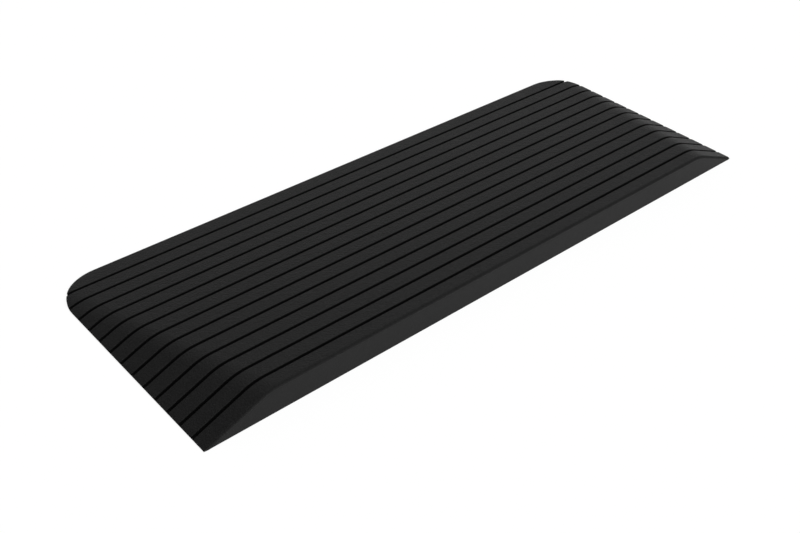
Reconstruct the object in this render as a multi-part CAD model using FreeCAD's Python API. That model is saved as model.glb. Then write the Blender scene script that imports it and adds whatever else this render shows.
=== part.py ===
"""Portable rubber threshold ramp for wheelchairs.

A moulded rubber wedge that is laid against a door sill. Its tall face stands against the sill, the tread
falls from there to a thin low edge, and both ends fall away to the floor so that a wheel can't drop off
them. Grooves run along the tread and down over both ends. The underside is cored with ribbed pockets to
keep the weight down, and soft grip pads sit in round seats so that the loose ramp doesn't creep.

Frame: millimetres, +Z up, +X along the ramp's length, +Y from the tall face towards the low edge.
The origin is the centre of the footprint, on the floor.
"""
import math
import os

import FreeCAD
import Part
from FreeCAD import Vector

# overall sizes
ramp_length = 1000.0
ramp_depth = 375.0
crest_height = 40.5  # floor to where the tread's plane meets the tall face, before that edge is rounded

# outer shape
rim_thickness = 2.0  # upright lip round the low edge and along the foot of both ends
end_slope_run = 92.0  # how far each end slope reaches in at the tall face
fold_radius = 75.0  # between the tread and an end slope
tall_edge_radius = 4.5  # along the top of the tall face
low_corner_radius = 65.0  # the two plan corners at the low edge

# tread grooves
groove_count = 13
first_groove = 25.3  # from the tall face to the middle of the first groove
groove_pitch = 26.7  # from there to the middle of the next, and so on; the strip at the low edge is wider
groove_width = 5.0
groove_depth = 4.5
groove_skin = 1.0  # rubber left under a groove where it runs out through the thin rim

# ribbed pockets in the underside
pocket_columns = 10
pocket_rows = 3
rib_thickness = 8.0
tall_wall = 12.0  # rubber between the tall face and the first row
tread_wall = 10.0  # rubber between a pocket and the tread, measured upright
end_margin = 11.0  # from the inner foot of an end slope to the first column
shallowest_pocket = 6.0
pocket_corner_radius = 6.0

# grip pads
pad_diameter = 40.0
pad_thickness = 3.0
pad_edge_radius = 0.8
pad_proud = 0.5  # how far a pad stands below the rubber
pad_seat_clearance = 0.3  # round the pad
pad_end_inset = 60.0  # from the ramp's end to the outer pads' centres
pad_low_inset = 80.0  # from the low edge to that row's centres
pad_columns = (3, 6)  # grid columns, counted from 0, that stay solid under the tall side's inner pads

# worked out
half_length = ramp_length / 2
tall_y = -ramp_depth / 2
low_y = ramp_depth / 2
underside_z = pad_proud
rim_top_z = underside_z + rim_thickness
tread_fall = (crest_height - rim_top_z) / ramp_depth
end_fall = (crest_height - rim_top_z) / end_slope_run
over = 40.0  # how far the cutting shapes reach past the part
near = 1e-6


def prism(points, direction):
    """Solid made by moving the closed outline through points along direction."""
    outline = Part.makePolygon(points + points[:1])
    return Part.Face(outline).extrude(direction)


def tread_z(y, sink=0.0):
    """Height of the tread's plane at y, or of the plane that lies sink below it, measured square to it."""
    return crest_height - tread_fall * (y - tall_y) - sink * math.hypot(1, tread_fall)


def end_z(from_end, sink=0.0):
    """Height of an end slope's plane that far in from the ramp's end, sunk in the same way."""
    return rim_top_z + end_fall * from_end - sink * math.hypot(1, end_fall)


def wedge(sink=0.0):
    """Block under the tread and both end slopes, sunk by sink, with its two folds rounded.

    It reaches past the footprint at the low edge, the ends and the floor, so that its own corners lie
    outside the ramp. Only its tall face is where the ramp's is.
    """
    reach = half_length + (end_z(0, sink) + over) / end_fall
    far_y = low_y + over
    slope = prism(
        [
            Vector(-reach, tall_y, -over),
            Vector(-reach, far_y, -over),
            Vector(-reach, far_y, tread_z(far_y, sink)),
            Vector(-reach, tall_y, tread_z(tall_y, sink)),
        ],
        Vector(2 * reach, 0, 0),
    )
    crown = end_slope_run + over
    ends = prism(
        [
            Vector(-reach, tall_y, -over),
            Vector(reach, tall_y, -over),
            Vector(half_length - crown, tall_y, end_z(crown, sink)),
            Vector(-half_length + crown, tall_y, end_z(crown, sink)),
        ],
        Vector(0, far_y - tall_y, 0),
    )
    block = slope.common(ends)
    return block.makeFillet(fold_radius - sink, [e for e in block.Edges if is_fold(e, sink)])


def is_fold(edge, sink):
    """True for the two slanting edges between the tread and the end slopes."""
    middle = edge.CenterOfMass
    on_tread = abs(middle.z - tread_z(middle.y, sink)) < near
    return on_tread and tall_y + near < middle.y < low_y + over - near


def on_tall_crest(edge):
    """True for the edges round the top of the block's tall face, from foot to foot."""
    middle = edge.CenterOfMass
    return abs(middle.y - tall_y) < near and middle.z > near - over


def footprint():
    """Upright prism over the plan of the ramp: square at the tall face, rounded at the low corners."""
    block = Part.makeBox(
        ramp_length,
        ramp_depth,
        crest_height + over - underside_z,
        Vector(-half_length, tall_y, underside_z),
    )
    return block.makeFillet(low_corner_radius, [e for e in block.Edges if is_low_corner(e)])


def is_low_corner(edge):
    """True for the footprint's upright edges at the low edge."""
    middle = edge.CenterOfMass
    return abs(middle.y - low_y) < near and abs(abs(middle.x) - half_length) < near


def outer_shape():
    """The ramp without its grooves, pockets and seats."""
    block = wedge()
    rounded = block.makeFillet(tall_edge_radius, [e for e in block.Edges if on_tall_crest(e)])
    return rounded.common(footprint())


def grooves():
    """One cutting shape for each groove. Its floor follows the surface, down to the skin at the rim."""
    core = wedge(groove_depth)
    cutters = []
    for i in range(groove_count):
        slot = Part.makeBox(
            ramp_length + 2 * over,
            groove_width,
            crest_height + over,
            Vector(
                -half_length - over,
                tall_y + first_groove + i * groove_pitch - groove_width / 2,
                underside_z + groove_skin,
            ),
        )
        cutters.append(slot.cut(core))
    return cutters


def pocket_cells():
    """(column, row, x, y, width, depth) of each cell of the rib grid, where x and y are its low corner."""
    field_x = half_length - end_slope_run - end_margin
    field_y = (crest_height - tread_wall - underside_z - shallowest_pocket) / tread_fall
    width = (2 * field_x - (pocket_columns - 1) * rib_thickness) / pocket_columns
    depth = (field_y - tall_wall - (pocket_rows - 1) * rib_thickness) / pocket_rows
    return [
        (
            column,
            row,
            -field_x + column * (width + rib_thickness),
            tall_y + tall_wall + row * (depth + rib_thickness),
            width,
            depth,
        )
        for row in range(pocket_rows)
        for column in range(pocket_columns)
    ]


def carries_pad(column, row):
    """True for a grid cell that stays solid to hold a pad's seat."""
    return row == 0 and column in pad_columns


def pockets():
    """The cutting shapes of the pockets. Each roof lies the tread wall below the tread."""
    cutters = []
    for column, row, x, y, width, depth in pocket_cells():
        if carries_pad(column, row):
            continue
        block = prism(
            [
                Vector(x, y, underside_z - over),
                Vector(x, y + depth, underside_z - over),
                Vector(x, y + depth, tread_z(y + depth) - tread_wall),
                Vector(x, y, tread_z(y) - tread_wall),
            ],
            Vector(width, 0, 0),
        )
        cutters.append(block.makeFillet(pocket_corner_radius, [e for e in block.Edges if is_upright(e)]))
    return cutters


def is_upright(edge):
    """True for an edge that runs along Z."""
    start, end = (edge.valueAt(p) for p in (edge.FirstParameter, edge.LastParameter))
    return abs(start.x - end.x) < near and abs(start.y - end.y) < near


def pad_places():
    """Name and centre (x, y) of each grip pad: four along the tall side and four along the low edge."""
    first_row = [cell for cell in pocket_cells() if cell[1] == 0]
    left, right = (x + width / 2 for column, row, x, y, width, depth in first_row if column in pad_columns)
    tall_row_y = first_row[0][3] + first_row[0][5] / 2
    outer = half_length - pad_end_inset
    columns = {"left_end": -outer, "left": left, "right": right, "right_end": outer}
    rows = {"tall_side": tall_row_y, "low_side": low_y - pad_low_inset}
    return {f"grip_pad_{row}_{column}": (x, y) for row, y in rows.items() for column, x in columns.items()}


def grip_pad(x, y):
    """One soft disc on the floor, with the rim of its floor side eased."""
    disc = Part.makeCylinder(pad_diameter / 2, pad_thickness, Vector(x, y, 0))
    return disc.makeFillet(pad_edge_radius, [e for e in disc.Edges if abs(e.CenterOfMass.z) < near])


def pad_seats():
    """The cutting shapes of the round recesses that the pads are stuck into."""
    return [
        Part.makeCylinder(
            pad_diameter / 2 + pad_seat_clearance,
            pad_thickness + over,
            Vector(x, y, -over),
        )
        for x, y in pad_places().values()
    ]


def ramp_body():
    """The moulded rubber wedge."""
    return outer_shape().cut(grooves() + pockets() + pad_seats())


def write(name, shape):
    """Saves one sub-part as parts/NAME.step and prints what it holds."""
    print(f"{name}: {len(shape.Solids)} solid, valid {shape.isValid()}, {shape.Volume / 1e3:.2f} cm3")
    shape.exportStep(os.path.join("parts", f"{name}.step"))


os.makedirs("parts", exist_ok=True)
write("ramp_body", ramp_body())
for name, (x, y) in pad_places().items():
    write(name, grip_pad(x, y))
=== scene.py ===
import math

import bmesh
import bpy
from mathutils import Matrix, Vector


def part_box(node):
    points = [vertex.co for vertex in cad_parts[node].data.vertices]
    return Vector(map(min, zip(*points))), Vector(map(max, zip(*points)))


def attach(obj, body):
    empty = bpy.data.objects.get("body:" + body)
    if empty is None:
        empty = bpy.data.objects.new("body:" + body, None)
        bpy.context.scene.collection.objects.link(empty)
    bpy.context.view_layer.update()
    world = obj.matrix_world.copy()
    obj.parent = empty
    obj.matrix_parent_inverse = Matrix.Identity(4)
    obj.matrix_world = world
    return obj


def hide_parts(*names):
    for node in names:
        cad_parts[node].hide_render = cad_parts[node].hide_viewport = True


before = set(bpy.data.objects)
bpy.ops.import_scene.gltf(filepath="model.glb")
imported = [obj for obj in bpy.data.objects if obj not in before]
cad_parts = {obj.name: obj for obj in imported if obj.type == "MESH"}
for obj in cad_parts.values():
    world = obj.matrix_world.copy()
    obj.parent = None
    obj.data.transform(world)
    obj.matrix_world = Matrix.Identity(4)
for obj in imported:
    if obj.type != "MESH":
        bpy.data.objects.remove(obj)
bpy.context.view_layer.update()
scene = bpy.context.scene

# the camera, in metres and degrees

cameraSpec = {
    "azimuth": -42.26,
    "elevation": 37.19,
    "roll": 1.914,
    "distance": 1.442,
    "target": (-0.1059, -0.0668, 0.0),
    "lens": 46.98,
}


def makeCamera(spec):
    turn, rise, roll = (math.radians(spec[key]) for key in ("azimuth", "elevation", "roll"))
    back = Vector((math.sin(turn) * math.cos(rise), -math.cos(turn) * math.cos(rise), math.sin(rise)))
    right = Vector((0, 0, 1)).cross(back).normalized()
    placed = Matrix((right, back.cross(right), back)).transposed().to_4x4()
    placed = placed @ Matrix.Rotation(roll, 4, "Z")
    placed.translation = Vector(spec["target"]) + back * spec["distance"]
    data = bpy.data.cameras.new("camera")
    data.lens = spec["lens"]
    obj = bpy.data.objects.new("camera", data)
    scene.collection.objects.link(obj)
    obj.matrix_world = placed
    scene.camera = obj
    print("camera placed")


makeCamera(cameraSpec)

# shader maths: a Field wraps a socket, and its operators add the nodes


class Shader:
    def __init__(self, tree):
        self.tree = tree
        tree.nodes.clear()

    def node(self, kind, settings=None, **inputs):
        made = self.tree.nodes.new(kind)
        for name, value in (settings or {}).items():
            setattr(made, name, value)
        for name, value in inputs.items():
            # i0, i1 and so on are sockets that have no name of their own
            numbered = name[0] == "i" and name[1:].isdigit()
            self.feed(made.inputs[int(name[1:]) if numbered else name], value)
        return made

    def feed(self, socket, value):
        if isinstance(value, Field):
            self.tree.links.new(value.socket, socket)
        else:
            socket.default_value = value

    def out(self, kind, output=0, settings=None, **inputs):
        return Field(self, self.node(kind, settings, **inputs).outputs[output])

    def mixColor(self, factor, first, second):
        made = self.node("ShaderNodeMix", {"data_type": "RGBA"}, i0=factor, i6=first, i7=second)
        return Field(self, made.outputs[2])


class Field:
    def __init__(self, shader, socket):
        self.shader, self.socket = shader, socket

    def maths(self, operation, *values):
        inputs = {f"i{i}": value for i, value in enumerate(values)}
        return self.shader.out("ShaderNodeMath", 0, {"operation": operation}, **inputs)

    def __add__(self, other):
        return self.maths("ADD", self, other)

    def __mul__(self, other):
        return self.maths("MULTIPLY", self, other)

    def __sub__(self, other):
        return self.maths("SUBTRACT", self, other)

    def __rsub__(self, other):
        return self.maths("SUBTRACT", other, self)

    __radd__ = __add__
    __rmul__ = __mul__

    def clip(self):
        held = self.maths("ADD", self, 0.0)
        held.socket.node.use_clamp = True
        return held


def grey(level, tint=0.0):
    return (level * (1 - tint), level, level * (1 + tint), 1)


# the moulded rubber

rubberFinish = {
    "face": 0.0104,  # how light the skin is
    "wall": 0.0125,  # the tall face is smoother, and its colour is painted a little paler as painted light, for how brightly it is lit
    "crest": 0.0028,  # the rounded edge above it, painted dark as shade, and dull
    "groove": 0.0006,  # the inside of a groove, painted near-black as shade
    "under": 0.022,  # the underside keeps the mould's chalky bloom
    "speckle": 0.55,  # how far the face's colour strays to each side
    "speckleShares": (0.4, 0.2, 0.4),  # of patches, mottle and grain
    "patchSize": 0.11,
    "mottleSize": 0.012,
    "grainSize": 0.0024,
    "grainHeight": 0.0022,
    "mottleHeight": 0.8,  # against the grain's
    "wallSmoothing": 0.7,  # how much of the grain the tall face lacks
    "bumpStrength": 0.5,
    "bloomFrom": 0.3,  # the bloom is this thick where the mottle is thinnest
    "bloomMottle": 0.8,
    "grooveReach": 4.0,  # the groove's painted shade is full from its depth divided by this
    "roughness": 0.47,
    "patchRoughness": 0.10,
    "mottleRoughness": 0.08,
    "crestRoughness": 0.25,
    "grooveRoughness": 0.5,
    "underRoughness": 0.2,
    "gloss": 0.165,
}


def moulded(spec):
    material = bpy.data.materials.new("mouldedRubber")
    material.use_nodes = True
    s = Shader(material.node_tree)
    at = s.out("ShaderNodeTexCoord", "Object")

    def noise(size, detail, rough=0.5):
        settings = {"Scale": 1 / size, "Detail": detail, "Roughness": rough}
        return s.out("ShaderNodeTexNoise", "Fac", None, Vector=at, **settings)

    def painted(name):
        return s.out("ShaderNodeAttribute", "Fac", {"attribute_name": name})

    patches = noise(spec["patchSize"], 3.0)
    mottle = noise(spec["mottleSize"], 4.0, 0.6)
    grain = noise(spec["grainSize"], 3.0, 0.6)
    depth, under, wall, crest = (painted(name) for name in ("groove", "under", "wall", "crest"))
    groove = (depth * spec["grooveReach"]).clip()
    patchShare, mottleShare, grainShare = spec["speckleShares"]
    speckle = patches * patchShare + mottle * mottleShare + grain * grainShare
    darkest, lightest = spec["face"] * (1 - spec["speckle"]), spec["face"] * (1 + spec["speckle"])
    face = s.mixColor(speckle, grey(darkest), grey(lightest))
    # painted light: the tall face's colour is made a little paler
    upright = s.mixColor(wall, face, grey(spec["wall"]))
    # painted shade: a dark band along the rounded crest between tall face and tread
    crestShaded = s.mixColor(crest, upright, grey(spec["crest"]))
    bloom = (under * (mottle * spec["bloomMottle"] + spec["bloomFrom"])).clip()
    chalky = s.mixColor(bloom, crestShaded, grey(spec["under"]))
    # painted shade: the grooves are darkened to near-black with depth
    colour = s.mixColor(groove, chalky, grey(spec["groove"]))
    dull = crest * spec["crestRoughness"] + groove * spec["grooveRoughness"] + under * spec["underRoughness"]
    # the noises stray about a half, which the plain roughness makes up for
    plain = spec["roughness"] - (spec["patchRoughness"] + spec["mottleRoughness"]) / 2
    roughness = patches * spec["patchRoughness"] + mottle * spec["mottleRoughness"] + dull + plain
    relief = (grain + mottle * spec["mottleHeight"]) * (1 - wall * spec["wallSmoothing"])
    bump = s.node(
        "ShaderNodeBump", Strength=spec["bumpStrength"], Distance=spec["grainHeight"], Height=relief
    )
    skin = s.node("ShaderNodeBsdfPrincipled", Roughness=roughness, Normal=Field(s, bump.outputs[0]))
    s.feed(skin.inputs["Base Color"], colour)
    skin.inputs["Specular IOR Level"].default_value = spec["gloss"]
    s.node("ShaderNodeOutputMaterial", Surface=Field(s, skin.outputs[0]))
    return material


# the ramp body: one shell, modelled from its tread down

weld = 1e-6  # points nearer than this are one

ramp = {
    "rimThickness": 0.0020,  # the upright lip along the low edge and the foot of both ends
    "endRun": 0.092,  # how far an end slope reaches in at the tall face
    "foldRadius": 0.075,
    "tallRound": 0.0045,
    "cornerRadius": 0.065,
    "rimRound": 0.0006,
    "footRound": 0.0004,
    "grooves": 13,
    "firstGroove": 0.0253,  # from the tall face to its middle
    "groovePitch": 0.0267,
    "grooveWidth": 0.0050,
    "grooveDepth": 0.0045,
    "grooveSkin": 0.0010,  # left under a groove where it runs out at the rim
    "lipRound": 0.0004,
    "grooveFoot": 0.0008,
    "rimColumns": (0.0015, 0.003, 0.005, 0.0072, 0.010),  # distances in from an end, where the rim needs them
    "slopeColumns": 4,  # then down to the fold
    "foldColumns": 14,
    "treadColumns": (0.02, 0.08, 0.2, 0.4, 0.6, 0.8, 1),  # shares of the way from a fold to the middle
    "leastColumn": 0.0004,
    "leastRow": 0.0003,
    "pastTallRound": 1.3,  # rows start this many roundings in
    "shortOfRimRound": 1.2,
    "cornerTurn": 3,  # degrees of a low corner for each row
    "crestFade": 3,  # how quickly the band of painted shade on the crest fades to both sides
    "tallRoundSteps": 6,
    "smallRoundSteps": 3,
    "rimRoundSteps": 4,
    "solveSteps": 6,  # enough for a height or a place that is found by repetition
    "halvings": 24,
}

bodyLow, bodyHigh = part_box("ramp_body")
halfLength, tallY, lowY, underside = bodyHigh.x, bodyLow.y, bodyHigh.y, bodyLow.z
rimTop = underside + ramp["rimThickness"]
crest = bodyHigh.z  # raised below to where tread and tall face would meet if nothing were rounded
for step in range(ramp["solveSteps"]):
    treadFall = (crest - rimTop) / (lowY - tallY)
    crest = bodyHigh.z + ramp["tallRound"] * (treadFall + math.hypot(1, treadFall) - 1)
endFall = (crest - rimTop) / ramp["endRun"]
treadNormal = Vector((0, treadFall, 1)).normalized()
cosFold = treadNormal.z / math.hypot(1, endFall)


def treadHeight(y):
    return crest - treadFall * (y - tallY)


def surface(x, y, sink=0.0):
    # height and normal of the upper surface, or of the one that lies sink below it
    endNormal = Vector((math.copysign(endFall, x), 0, 1)).normalized()
    tread = treadHeight(y) - sink / treadNormal.z
    end = rimTop + endFall * (halfLength - abs(x)) - sink / endNormal.z
    radius = ramp["foldRadius"] - sink
    slack = radius * (1 - cosFold)
    if end > tread + slack / endNormal.z:
        return tread, treadNormal
    if end < tread - slack / treadNormal.z:
        return end, endNormal
    # on the fold's cylinder, where the height solves a quadratic
    a, b, p, q = treadNormal.z, endNormal.z, radius - tread * treadNormal.z, radius - end * endNormal.z
    square = a * a + b * b - 2 * cosFold * a * b
    linear = 2 * (p * a + q * b - cosFold * (p * b + q * a))
    constant = p * p + q * q - 2 * cosFold * p * q - radius * radius * (1 - cosFold * cosFold)
    height = (math.sqrt(max(0, linear * linear - 4 * square * constant)) - linear) / (2 * square)
    p, q = p + a * height, q + b * height
    normal = treadNormal * (p - q * cosFold) + endNormal * (q - p * cosFold)
    return height, normal.normalized()


def quarter(steps):
    return [math.pi / 2 * k / steps for k in range(steps + 1)]


def endInset(y, inset):
    # how far in from the end the outline lies, or its parallel at that inset
    over = y - (lowY - ramp["cornerRadius"])
    if over <= 0:
        return inset
    radius = ramp["cornerRadius"] - inset
    return ramp["cornerRadius"] - math.sqrt(max(0, radius * radius - over * over))


def rimDrop(x, y):
    # how much the rounded rim takes off the surface
    centreX, centreY = halfLength - ramp["cornerRadius"], lowY - ramp["cornerRadius"]
    if abs(x) > centreX and y > centreY:
        inside = ramp["cornerRadius"] - math.hypot(abs(x) - centreX, y - centreY)
    else:
        inside = min(halfLength - abs(x), lowY - y)
    left = max(0, ramp["rimRound"] - inside)
    return ramp["rimRound"] - math.sqrt(max(0, ramp["rimRound"] ** 2 - left**2))


def columnInsets(y):
    # from one end to the middle, as distances in from the end
    slack = ramp["foldRadius"] * (1 - cosFold)
    outer = (treadHeight(y) - slack / treadNormal.z - rimTop) / endFall
    inner = (treadHeight(y) + slack * math.hypot(1, endFall) - rimTop) / endFall
    insets = [endInset(y, ramp["rimRound"] * (1 - math.cos(a))) for a in quarter(ramp["rimRoundSteps"])]
    slopes, folds = ramp["slopeColumns"], ramp["foldColumns"]
    natural = list(ramp["rimColumns"])
    natural += [natural[-1] + (outer - natural[-1]) * k / slopes for k in range(1, slopes)]
    natural += [outer + (inner - outer) * k / folds for k in range(folds + 1)]
    natural += [inner + (halfLength - inner) * share for share in ramp["treadColumns"]]
    for place in natural:
        insets.append(max(place, insets[-1] + ramp["leastColumn"]))
    insets[-1] = halfLength
    return insets


def grooveSection():
    # (distance from the groove's middle, depth below the tread), from a lip to the middle
    half, depth, lip, foot = (ramp[key] for key in ("grooveWidth", "grooveDepth", "lipRound", "grooveFoot"))
    half /= 2
    turns = quarter(ramp["smallRoundSteps"])
    section = [(half + lip * (1 - math.sin(a)), lip * (1 - math.cos(a))) for a in turns]
    section += [(half - foot * (1 - math.cos(a)), depth - foot * (1 - math.sin(a))) for a in turns]
    return section + [(0, depth)]


def treadRows():
    # (y, depth below the tread) of every row past the tall edge's rounding
    section = grooveSection()
    reach = section[0][0]
    cornerStart = lowY - ramp["cornerRadius"]
    cornerTurns = [math.radians(a) for a in range(0, 90, ramp["cornerTurn"])]
    cornerRows = [cornerStart + ramp["cornerRadius"] * math.sin(a) for a in cornerTurns]
    middles = [tallY + ramp["firstGroove"] + ramp["groovePitch"] * k for k in range(ramp["grooves"])]
    start = tallY + ramp["tallRound"] * ramp["pastTallRound"]
    lastStop = lowY - ramp["rimRound"] * ramp["shortOfRimRound"]
    least = ramp["leastRow"]
    rows = []
    for middle in middles + [None]:
        stop = lastStop if middle is None else middle - reach
        thirds = [start + (stop - start) * k / 3 for k in (1, 2)]
        places = cornerRows if stop > cornerStart else thirds
        rows += [(y, 0.0) for y in places if start + least < y < stop - least]
        if middle is not None:
            rows += [(middle - away, depth) for away, depth in section]
            rows += [(middle + away, depth) for away, depth in reversed(section[:-1])]
            start = middle + reach
    turns = reversed(quarter(ramp["rimRoundSteps"]))
    return rows + [(lowY - ramp["rimRound"] * (1 - math.cos(a)), 0.0) for a in turns]


def roundPoint(x, share):
    # on the rounding between tall face and tread: share 0 is on the tall face, 1 is on the tread
    radius = ramp["tallRound"]
    baseX, normal = x, treadNormal
    for step in range(ramp["solveSteps"]):
        height, normal = surface(baseX, tallY + radius * (1 + normal.y))
        outward = Vector((0, -1, 0)).slerp(normal, share)
        baseX = x + radius * (normal.x - outward.x)
    centre = Vector((baseX, tallY + radius * (1 + normal.y), height)) - normal * radius
    return centre + outward * radius


def firstShare(x):
    # where the rounding begins: at the tall face, or at the foot where the end is too low for all of it
    if roundPoint(x, 0).z >= underside:
        return 0.0
    below, above = 0.0, 1.0
    for step in range(ramp["halvings"]):
        middle = (below + above) / 2
        if roundPoint(x, middle).z < underside:
            below = middle
        else:
            above = middle
    return above


def upperSkin(bm, grooveLayer, wallLayer, crestLayer):
    # a grid, with rows along the ramp and closer ones at each groove, laid on the upper surface
    roundSteps = ramp["tallRoundSteps"]
    rows = treadRows()
    roundInsets = columnInsets(tallY + ramp["tallRound"])
    half = len(roundInsets) - 1
    rowCount = len(rows) + roundSteps + 1
    grid = bmesh.ops.create_grid(bm, x_segments=2 * half, y_segments=rowCount - 1, size=0.5)["verts"]
    insetsByRow = [columnInsets(y) for y, depth in rows]
    starts = {}
    for vert in grid:
        column = round((vert.co.x + 0.5) * 2 * half)
        row = round((vert.co.y + 0.5) * (rowCount - 1))
        side, index = (-1, column) if column < half else (1, 2 * half - column)
        if row <= roundSteps:
            x = side * (halfLength - roundInsets[index])
            if column not in starts:
                starts[column] = firstShare(x)
            share = starts[column] + (1 - starts[column]) * row / roundSteps
            vert.co = roundPoint(x, share)
            depth = 0.0
        else:
            y, depth = rows[row - roundSteps - 1]
            x = side * (halfLength - insetsByRow[row - roundSteps - 1][index])
            height = surface(x, y, depth)[0]
            if depth:
                height = max(height, min(surface(x, y)[0], underside + ramp["grooveSkin"]))
            vert.co = (x, y, height)
        rimShare = min(1, max(0, vert.co.z - underside) / ramp["rimThickness"])
        vert.co.z -= rimDrop(vert.co.x, vert.co.y) * rimShare
        # the groove layer places the grooves' painted shade by depth
        vert[grooveLayer] = depth / ramp["grooveDepth"]
        # the wall layer places the tall face's painted light, and its smoother grain
        vert[wallLayer] = 1.0 if row == 0 else 0.0
        # the crest layer places a band of painted shade along the rounded edge
        vert[crestLayer] = math.sin(math.pi * min(row, roundSteps) / roundSteps) ** ramp["crestFade"]
    print("tread:", rowCount, "rows of", 2 * half + 1)


def insetPlan(point, inset):
    # moves a point of the outline to the outline's parallel at that inset
    centreX, centreY = halfLength - ramp["cornerRadius"], lowY - ramp["cornerRadius"]
    if abs(point.x) > centreX and point.y > centreY:
        centre = Vector((math.copysign(centreX, point.x), centreY))
        arm = point.xy - centre
        arm *= min(1, (ramp["cornerRadius"] - inset) / arm.length)
        point.x, point.y = centre + arm
    point.x = max(inset - halfLength, min(halfLength - inset, point.x))
    point.y = max(tallY + inset, min(lowY - inset, point.y))


def sideWalls(bm):
    # the outline goes straight down and turns in at the foot
    radius = ramp["footRound"]
    turns = quarter(ramp["smallRoundSteps"])
    turn = [(radius * (1 - math.cos(a)), radius * (1 - math.sin(a))) for a in turns]
    loop = [edge for edge in bm.edges if edge.is_boundary]
    for inset, height in turn:
        made = bmesh.ops.extrude_edge_only(bm, edges=loop)["geom"]
        fresh = {item for item in made if isinstance(item, bmesh.types.BMVert)}
        edges = [item for item in made if isinstance(item, bmesh.types.BMEdge)]
        loop = [edge for edge in edges if fresh.issuperset(edge.verts)]
        for vert in fresh:
            insetPlan(vert.co, inset)
            vert.co.z = min(vert.co.z, underside + height)
    bmesh.ops.remove_doubles(bm, verts=bm.verts, dist=weld)
    bmesh.ops.dissolve_degenerate(bm, dist=weld, edges=bm.edges)


# the ribbed pockets and the pads' seats in the underside

hollows = {
    "columns": 10,
    "rows": 3,
    "rib": 0.008,
    "tallWall": 0.012,
    "treadWall": 0.010,  # rubber between a pocket and the tread
    "endMargin": 0.011,
    "shallowest": 0.006,
    "corner": 0.006,
    "mouthRound": 0.0010,
    "roofRound": 0.0018,
    "draft": 0.0005,  # how much narrower a pocket is at its roof
    "seatClearance": 0.0003,
    "seatBreak": 0.0003,
    "cornerSteps": 7,
    "roundSteps": 4,
    "seatSteps": 72,
}

padNames = sorted(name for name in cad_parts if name.startswith("grip_pad"))


def padPlace(name):
    # a pad's middle, the height of its back, and its radius
    low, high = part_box(name)
    return (low + high) / 2, high.z, (high.y - low.y) / 2


def pocketCells():
    h = hollows
    fieldX = halfLength - ramp["endRun"] - h["endMargin"]
    fieldY = (crest - h["treadWall"] - underside - h["shallowest"]) / treadFall
    width = (2 * fieldX - (h["columns"] - 1) * h["rib"]) / h["columns"]
    depth = (fieldY - h["tallWall"] - (h["rows"] - 1) * h["rib"]) / h["rows"]
    middles = [padPlace(name)[0] for name in padNames]
    for row in range(h["rows"]):
        for column in range(h["columns"]):
            x = -fieldX + column * (width + h["rib"]) + width / 2
            y = tallY + h["tallWall"] + row * (depth + h["rib"]) + depth / 2
            if not any(abs(m.x - x) < width / 2 and abs(m.y - y) < depth / 2 for m in middles):
                yield x, y, width, depth


def insetFaces(bm, faces, thickness):
    bmesh.ops.inset_individual(bm, faces=faces, thickness=thickness, depth=0, use_even_offset=True)
    return {vert for face in faces for vert in face.verts}


def cutMouths(bm, upperFaces):
    # flat faces in the underside's plane: a rounded oblong for each pocket and a disc for each seat
    h = hollows
    rounded = {"offset_type": "OFFSET", "segments": h["cornerSteps"], "profile": 0.5}
    rounded.update({"affect": "VERTICES", "material": -1, "clamp_overlap": False})
    for x, y, width, depth in pocketCells():
        size = Matrix.Diagonal((width + 2 * h["mouthRound"], depth + 2 * h["mouthRound"], 1, 1))
        place = Matrix.Translation((x, y, underside)) @ size
        corners = bmesh.ops.create_grid(bm, x_segments=1, y_segments=1, size=0.5, matrix=place)["verts"]
        bmesh.ops.bevel(bm, geom=corners, offset=h["corner"] + h["mouthRound"], **rounded)
    pockets = [face for face in bm.faces if face not in upperFaces]
    taken = upperFaces.union(pockets)
    for name in padNames:
        centre, back, radius = padPlace(name)
        radius += h["seatClearance"] + h["seatBreak"]
        place = Matrix.Translation((centre.x, centre.y, underside))
        bmesh.ops.create_circle(bm, cap_ends=True, segments=h["seatSteps"], radius=radius, matrix=place)
    seats = [face for face in bm.faces if face not in taken]
    print("hollows:", len(pockets), "pockets,", len(seats), "seats")
    return pockets, seats


def lowerSkin(bm, underLayer, upperLayers):
    # the flat underside, filled round the mouths, and the hollows that go up from them
    h = hollows
    pockets, seats = cutMouths(bm, set(bm.faces))
    upper = {vert for vert in bm.verts if vert.co.z > underside + weld}
    edges = [edge for edge in bm.edges if edge.is_boundary]
    bmesh.ops.triangle_fill(bm, use_beauty=True, use_dissolve=False, edges=edges, normal=(0, 0, -1))
    # the pockets: rounded mouth, drafted wall, rounded roof that follows the tread
    turns = quarter(h["roundSteps"])
    for before, after in zip(turns, turns[1:]):
        for vert in insetFaces(bm, pockets, h["mouthRound"] * (math.sin(after) - math.sin(before))):
            vert.co.z = underside + h["mouthRound"] * (1 - math.cos(after))
    for vert in insetFaces(bm, pockets, h["draft"]):
        vert.co.z = treadHeight(vert.co.y) - h["treadWall"] - h["roofRound"]
    for before, after in zip(turns, turns[1:]):
        for vert in insetFaces(bm, pockets, h["roofRound"] * (math.cos(before) - math.cos(after))):
            vert.co.z = treadHeight(vert.co.y) - h["treadWall"] - h["roofRound"] * (1 - math.sin(after))
    # the seats: a broken edge and a plain wall up to the pad's back
    for vert in insetFaces(bm, seats, h["seatBreak"]):
        vert.co.z = underside + h["seatBreak"]
    seatTop = padPlace(padNames[0])[1]
    made = bmesh.ops.extrude_discrete_faces(bm, faces=seats)["faces"]
    for vert in {vert for face in made for vert in face.verts}:
        vert.co.z = seatTop
    for vert in set(bm.verts) - upper:
        vert[underLayer] = 1.0
        for layer in upperLayers:
            vert[layer] = 0.0


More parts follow.
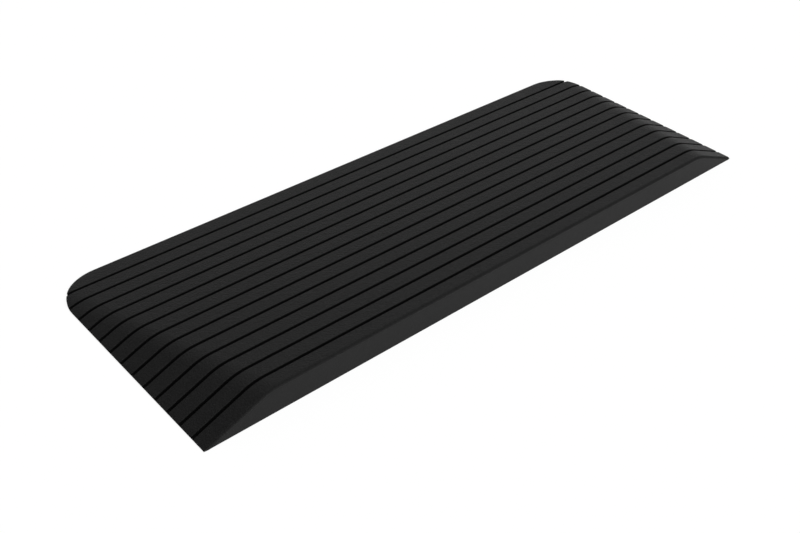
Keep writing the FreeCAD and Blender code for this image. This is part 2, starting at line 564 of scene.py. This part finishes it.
def finishPiece(bm, name, material, nodes):
    bmesh.ops.recalc_face_normals(bm, faces=bm.faces)
    flatBelow = min(vert.co.z for vert in bm.verts) + weld
    for face in bm.faces:
        face.smooth = any(vert.co.z > flatBelow for vert in face.verts)
    mesh = bpy.data.meshes.new(name)
    bm.to_mesh(mesh)
    bm.free()
    mesh.materials.append(material)
    obj = bpy.data.objects.new(name, mesh)
    scene.collection.objects.link(obj)
    weighted = obj.modifiers.new("flatFaces", "WEIGHTED_NORMAL")
    weighted.weight = 100  # the larger faces rule, so flat ones look flat
    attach(obj, "root")
    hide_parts(*nodes)
    print(name, len(mesh.vertices), "vertices")


def makeRamp():
    # the layers mark each point for the rubber: in a groove, where shade is painted; on the tall face,
    # painted paler as light; on its crest, where a band of shade is painted; below
    bm = bmesh.new()
    for name in ("groove", "wall", "crest", "under"):
        bm.verts.layers.float.new(name)
    layers = bm.verts.layers.float
    upperSkin(bm, layers["groove"], layers["wall"], layers["crest"])
    sideWalls(bm)
    lowerSkin(bm, layers["under"], [layers["groove"], layers["wall"], layers["crest"]])
    print("open edges", sum(not edge.is_manifold for edge in bm.edges))
    finishPiece(bm, "rampBody", moulded(rubberFinish), ["ramp_body"])


makeRamp()

# the grip pads under it

pad = {
    "edgeRound": 0.0006,
    "ridgeWidth": 0.0016,
    "ridgePitch": 0.0032,
    "ridgeDepth": 0.0006,
    "firstRidge": 0.0030,  # radius of the plain middle
    "ridgeRound": 0.00025,
    "steps": 72,
    "roundSteps": 3,
}

gripFinish = {
    "colour": 0.075,
    "darkColour": 0.055,
    "tint": 0.02,  # a trace of blue
    "patchesPerMetre": 90.0,
    "patchShare": 0.8,  # of the colour's mottling; the grain has the rest
    "patchRoughness": 0.12,
    "roughness": 0.78,
    "gloss": 0.3,
    "grainSize": 0.0006,
    "grainHeight": 0.00005,
    "bumpStrength": 0.5,
}


def gripRubber(spec):
    material = bpy.data.materials.new("gripRubber")
    material.use_nodes = True
    s = Shader(material.node_tree)
    at = s.out("ShaderNodeTexCoord", "Object")
    patches = s.out("ShaderNodeTexNoise", "Fac", None, Vector=at, Scale=spec["patchesPerMetre"], Detail=3.0)
    grain = s.out("ShaderNodeTexNoise", "Fac", None, Vector=at, Scale=1 / spec["grainSize"], Detail=2.0)
    mottling = patches * spec["patchShare"] + grain * (1 - spec["patchShare"])
    dark, light = (grey(spec[key], spec["tint"]) for key in ("darkColour", "colour"))
    colour = s.mixColor(mottling, dark, light)
    bump = s.node("ShaderNodeBump", Strength=spec["bumpStrength"], Distance=spec["grainHeight"], Height=grain)
    roughness = patches * spec["patchRoughness"] + (spec["roughness"] - spec["patchRoughness"] / 2)
    skin = s.node("ShaderNodeBsdfPrincipled", Roughness=roughness)
    s.feed(skin.inputs["Base Color"], colour)
    s.feed(skin.inputs["Normal"], Field(s, bump.outputs[0]))
    skin.inputs["Specular IOR Level"].default_value = spec["gloss"]
    s.node("ShaderNodeOutputMaterial", Surface=Field(s, skin.outputs[0]))
    return material


def padSection(radius, low, high):
    # (radius, height) from the middle of the back, round the edge and in over the ridges
    section = [(0, high), (radius, high), (radius, low)]
    inner = radius - pad["ridgeWidth"]
    while inner > pad["firstRidge"] + pad["ridgePitch"]:
        section += [(inner, low), (inner, low + pad["ridgeDepth"])]
        inner -= pad["ridgePitch"] - pad["ridgeWidth"]
        section += [(inner, low + pad["ridgeDepth"]), (inner, low)]
        inner -= pad["ridgeWidth"]
    return section + [(0, low)]


def makePad(name, material):
    centre, high, radius = padPlace(name)
    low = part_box(name)[0].z
    bm = bmesh.new()
    section = padSection(radius, low, high)
    first = bmesh.ops.create_vert(bm, co=(centre.x + section[0][0], centre.y, section[0][1]))["vert"][0]
    corners = [first]
    for out, height in section[1:]:
        made = bmesh.ops.extrude_vert_indiv(bm, verts=corners[-1:])["verts"][0]
        made.co = (centre.x + out, centre.y, height)
        corners.append(made)
    rounded = {"offset_type": "OFFSET", "segments": pad["roundSteps"], "profile": 0.5}
    rounded.update({"affect": "VERTICES", "material": -1, "clamp_overlap": True})
    ridgeCorners = corners[3:-1]
    bmesh.ops.bevel(bm, geom=ridgeCorners, offset=pad["ridgeRound"], **rounded)
    edge = [v for v in bm.verts if abs(v.co.x - centre.x - radius) < weld / 10]
    bmesh.ops.bevel(bm, geom=edge, offset=pad["edgeRound"], **rounded)
    geometry = list(bm.verts) + list(bm.edges)
    spin = {"angle": math.tau, "steps": pad["steps"], "use_merge": True, "axis": (0, 0, 1)}
    bmesh.ops.spin(bm, geom=geometry, cent=centre, dvec=(0, 0, 0), **spin)
    bmesh.ops.remove_doubles(bm, verts=bm.verts, dist=weld)
    finishPiece(bm, name.replace("grip_pad", "gripPad"), material, [name])


padMaterial = gripRubber(gripFinish)
for padName in padNames:
    makePad(padName, padMaterial)

# the floor, the sky and the lamps

studio = {
    "floorSize": 40.0,
    "floorColour": 0.90,
    "floorWhite": 0.90,  # how far the floor is seen as plain white; the rest shows the object's shadow
    "whiteLevel": 1.04,  # with the share above, and the rest's own light, adds up to white
    "skyStrength": 0.16,
    # each soft lamp: degrees from +X towards +Y, degrees above the floor, how wide it looks, strength
    "lamps": {
        "key": (312, 50, 35, 1.32),
        "front": (270, 20, 30, 1.51),
        "backRight": (40, 40, 60, 0.39),
        "backLeft": (80, 30, 60, 0.15),
    },
}


def makeFloor(spec):
    bm = bmesh.new()
    bmesh.ops.create_grid(bm, x_segments=1, y_segments=1, size=spec["floorSize"] / 2)
    mesh = bpy.data.meshes.new("floor")
    bm.to_mesh(mesh)
    bm.free()
    material = bpy.data.materials.new("floorPaint")
    material.use_nodes = True
    s = Shader(material.node_tree)
    seen = s.out("ShaderNodeLightPath", "Is Camera Ray")
    paint = s.out("ShaderNodeBsdfDiffuse", Color=grey(spec["floorColour"]))
    white = s.out("ShaderNodeEmission", Color=grey(1), Strength=spec["whiteLevel"])
    mixed = s.out("ShaderNodeMixShader", i0=seen * spec["floorWhite"], i1=paint, i2=white)
    s.node("ShaderNodeOutputMaterial", Surface=mixed)
    mesh.materials.append(material)
    obj = bpy.data.objects.new("floor", mesh)
    scene.collection.objects.link(obj)


def makeSky(spec):
    world = bpy.data.worlds.new("studio")
    scene.world = world
    world.use_nodes = True
    s = Shader(world.node_tree)
    seen = s.out("ShaderNodeLightPath", "Is Camera Ray")
    soft = s.out("ShaderNodeBackground", Color=grey(1), Strength=spec["skyStrength"])
    white = s.out("ShaderNodeBackground", Color=grey(1), Strength=1.0)
    s.node("ShaderNodeOutputWorld", Surface=s.out("ShaderNodeMixShader", i0=seen, i1=soft, i2=white))


def makeLamps(spec):
    for name, (around, rise, width, strength) in spec["lamps"].items():
        turn, lift = math.radians(around), math.radians(rise)
        data = bpy.data.lights.new(name, "SUN")
        data.energy = strength
        data.angle = math.radians(width)
        lamp = bpy.data.objects.new(name, data)
        scene.collection.objects.link(lamp)
        towards = Vector((math.cos(turn) * math.cos(lift), math.sin(turn) * math.cos(lift), math.sin(lift)))
        lamp.rotation_euler = towards.to_track_quat("Z", "Y").to_euler()
    print("lamps", len(spec["lamps"]))


makeFloor(studio)
makeSky(studio)
makeLamps(studio)
scene.view_settings.view_transform = "Standard"
